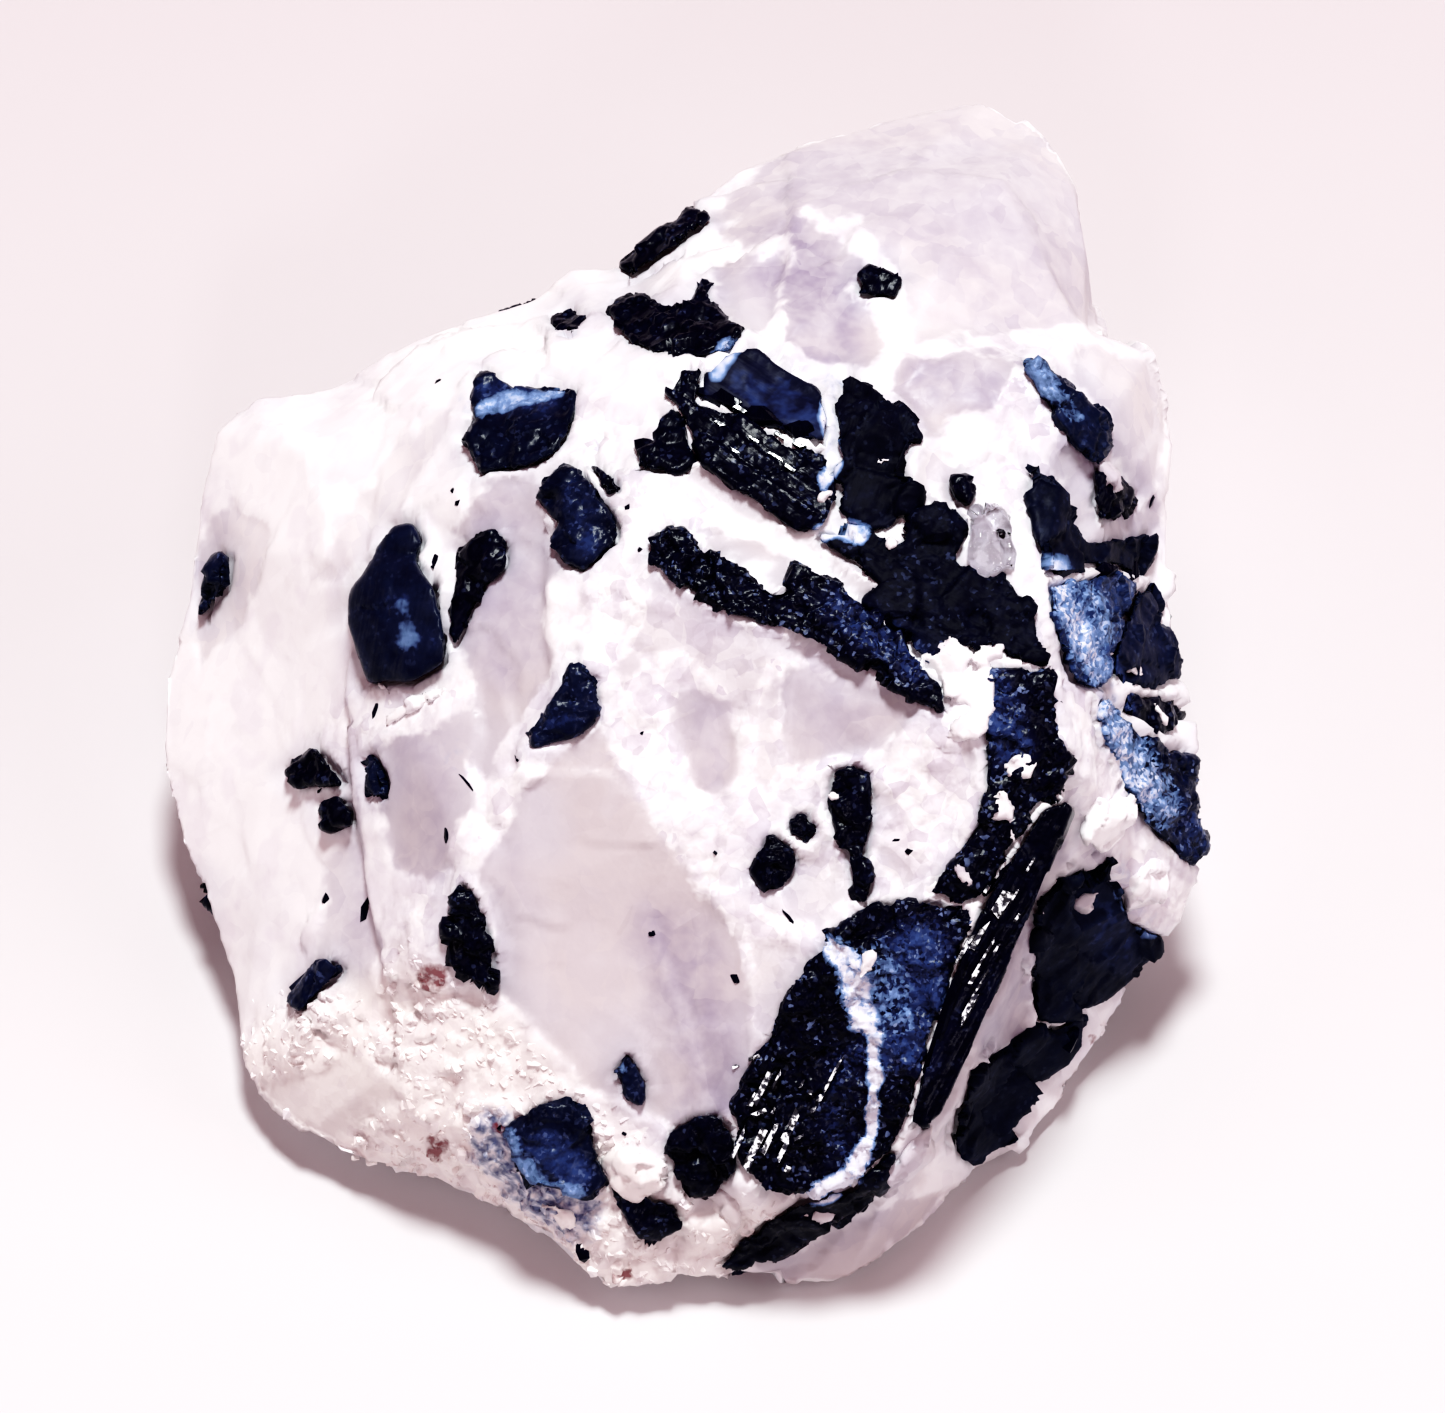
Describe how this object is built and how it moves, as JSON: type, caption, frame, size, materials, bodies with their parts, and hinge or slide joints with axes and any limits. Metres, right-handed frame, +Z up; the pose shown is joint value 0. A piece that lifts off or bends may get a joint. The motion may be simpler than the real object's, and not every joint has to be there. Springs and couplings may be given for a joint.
{
  "type": "tourmalinated quartz specimen",
  "caption": "Broken lump of milky and clear quartz with black and blue tourmaline prisms grown through it, resting on a flat broken base.",
  "frame": {"origin": "middle of the footprint, on the plane of the flat resting face", "axes": "+Z up out of the resting face, +Y away from the side that shows best and along the longest side, +X to the right of that side"},
  "size_m": [0.0422, 0.0488, 0.0246],
  "materials": {
    "quartz": "milky white to clear grey-mauve, glassy on broken faces and sugary on the veins",
    "tourmaline_black": "black with a navy cast, vitreous, striated along the prisms",
    "tourmaline_blue": "dark blue, granular and vitreous, with paler blue dusting",
    "tourmaline_frosted": "light blue, frosted with fine quartz",
    "clear_quartz": "clear and glassy"
  },
  "bodies": {
    "root": {"quartz": "quartz", "long_bar": "tourmaline_black", "edge_bar": "tourmaline_black", "slab_upper": "tourmaline_black", "slab_lower": "tourmaline_black", "dark_mass": "tourmaline_black", "upper_prism_front": "tourmaline_black", "upper_prism_back": "tourmaline_black", "upper_stub": "tourmaline_black", "upper_block": "tourmaline_black", "fork_arm": "tourmaline_black", "right_wedge": "tourmaline_blue", "right_frosted": "tourmaline_frosted", "right_tooth": "tourmaline_blue", "right_peg": "tourmaline_black", "right_blue_shard": "tourmaline_blue", "flank_block": "tourmaline_blue", "flank_foot": "tourmaline_blue", "base_bar": "tourmaline_black", "lower_cluster": "tourmaline_black", "blue_cluster": "tourmaline_blue", "low_bar": "tourmaline_black", "left_blob": "tourmaline_blue", "left_club": "tourmaline_black", "middle_cluster": "tourmaline_blue", "middle_chip": "tourmaline_black", "top_left_cluster": "tourmaline_blue", "vein_wedge": "tourmaline_blue", "left_arrow": "tourmaline_black", "left_bead": "tourmaline_black", "left_seed": "tourmaline_blue", "left_rod": "tourmaline_blue", "far_left_sliver": "tourmaline_blue", "pane_leaf": "tourmaline_black", "pane_chip": "tourmaline_blue", "centre_gem": "tourmaline_black", "centre_chip": "tourmaline_black", "brow_blade": "tourmaline_black", "top_chip": "tourmaline_black", "rim_bar": "tourmaline_black", "peak_cluster": "tourmaline_black", "rim_bead": "tourmaline_black", "shard": "tourmaline_frosted", "shard_wedge": "tourmaline_black", "clear_lens": "clear_quartz", "back_prism_a": "tourmaline_black", "back_prism_b": "tourmaline_black", "back_prism_c": "tourmaline_black", "back_prism_d": "tourmaline_black", "back_prism_e": "tourmaline_black", "back_prism_f": "tourmaline_black", "back_prism_g": "tourmaline_black", "left_prism": "tourmaline_black"}
  },
  "joints": []
}
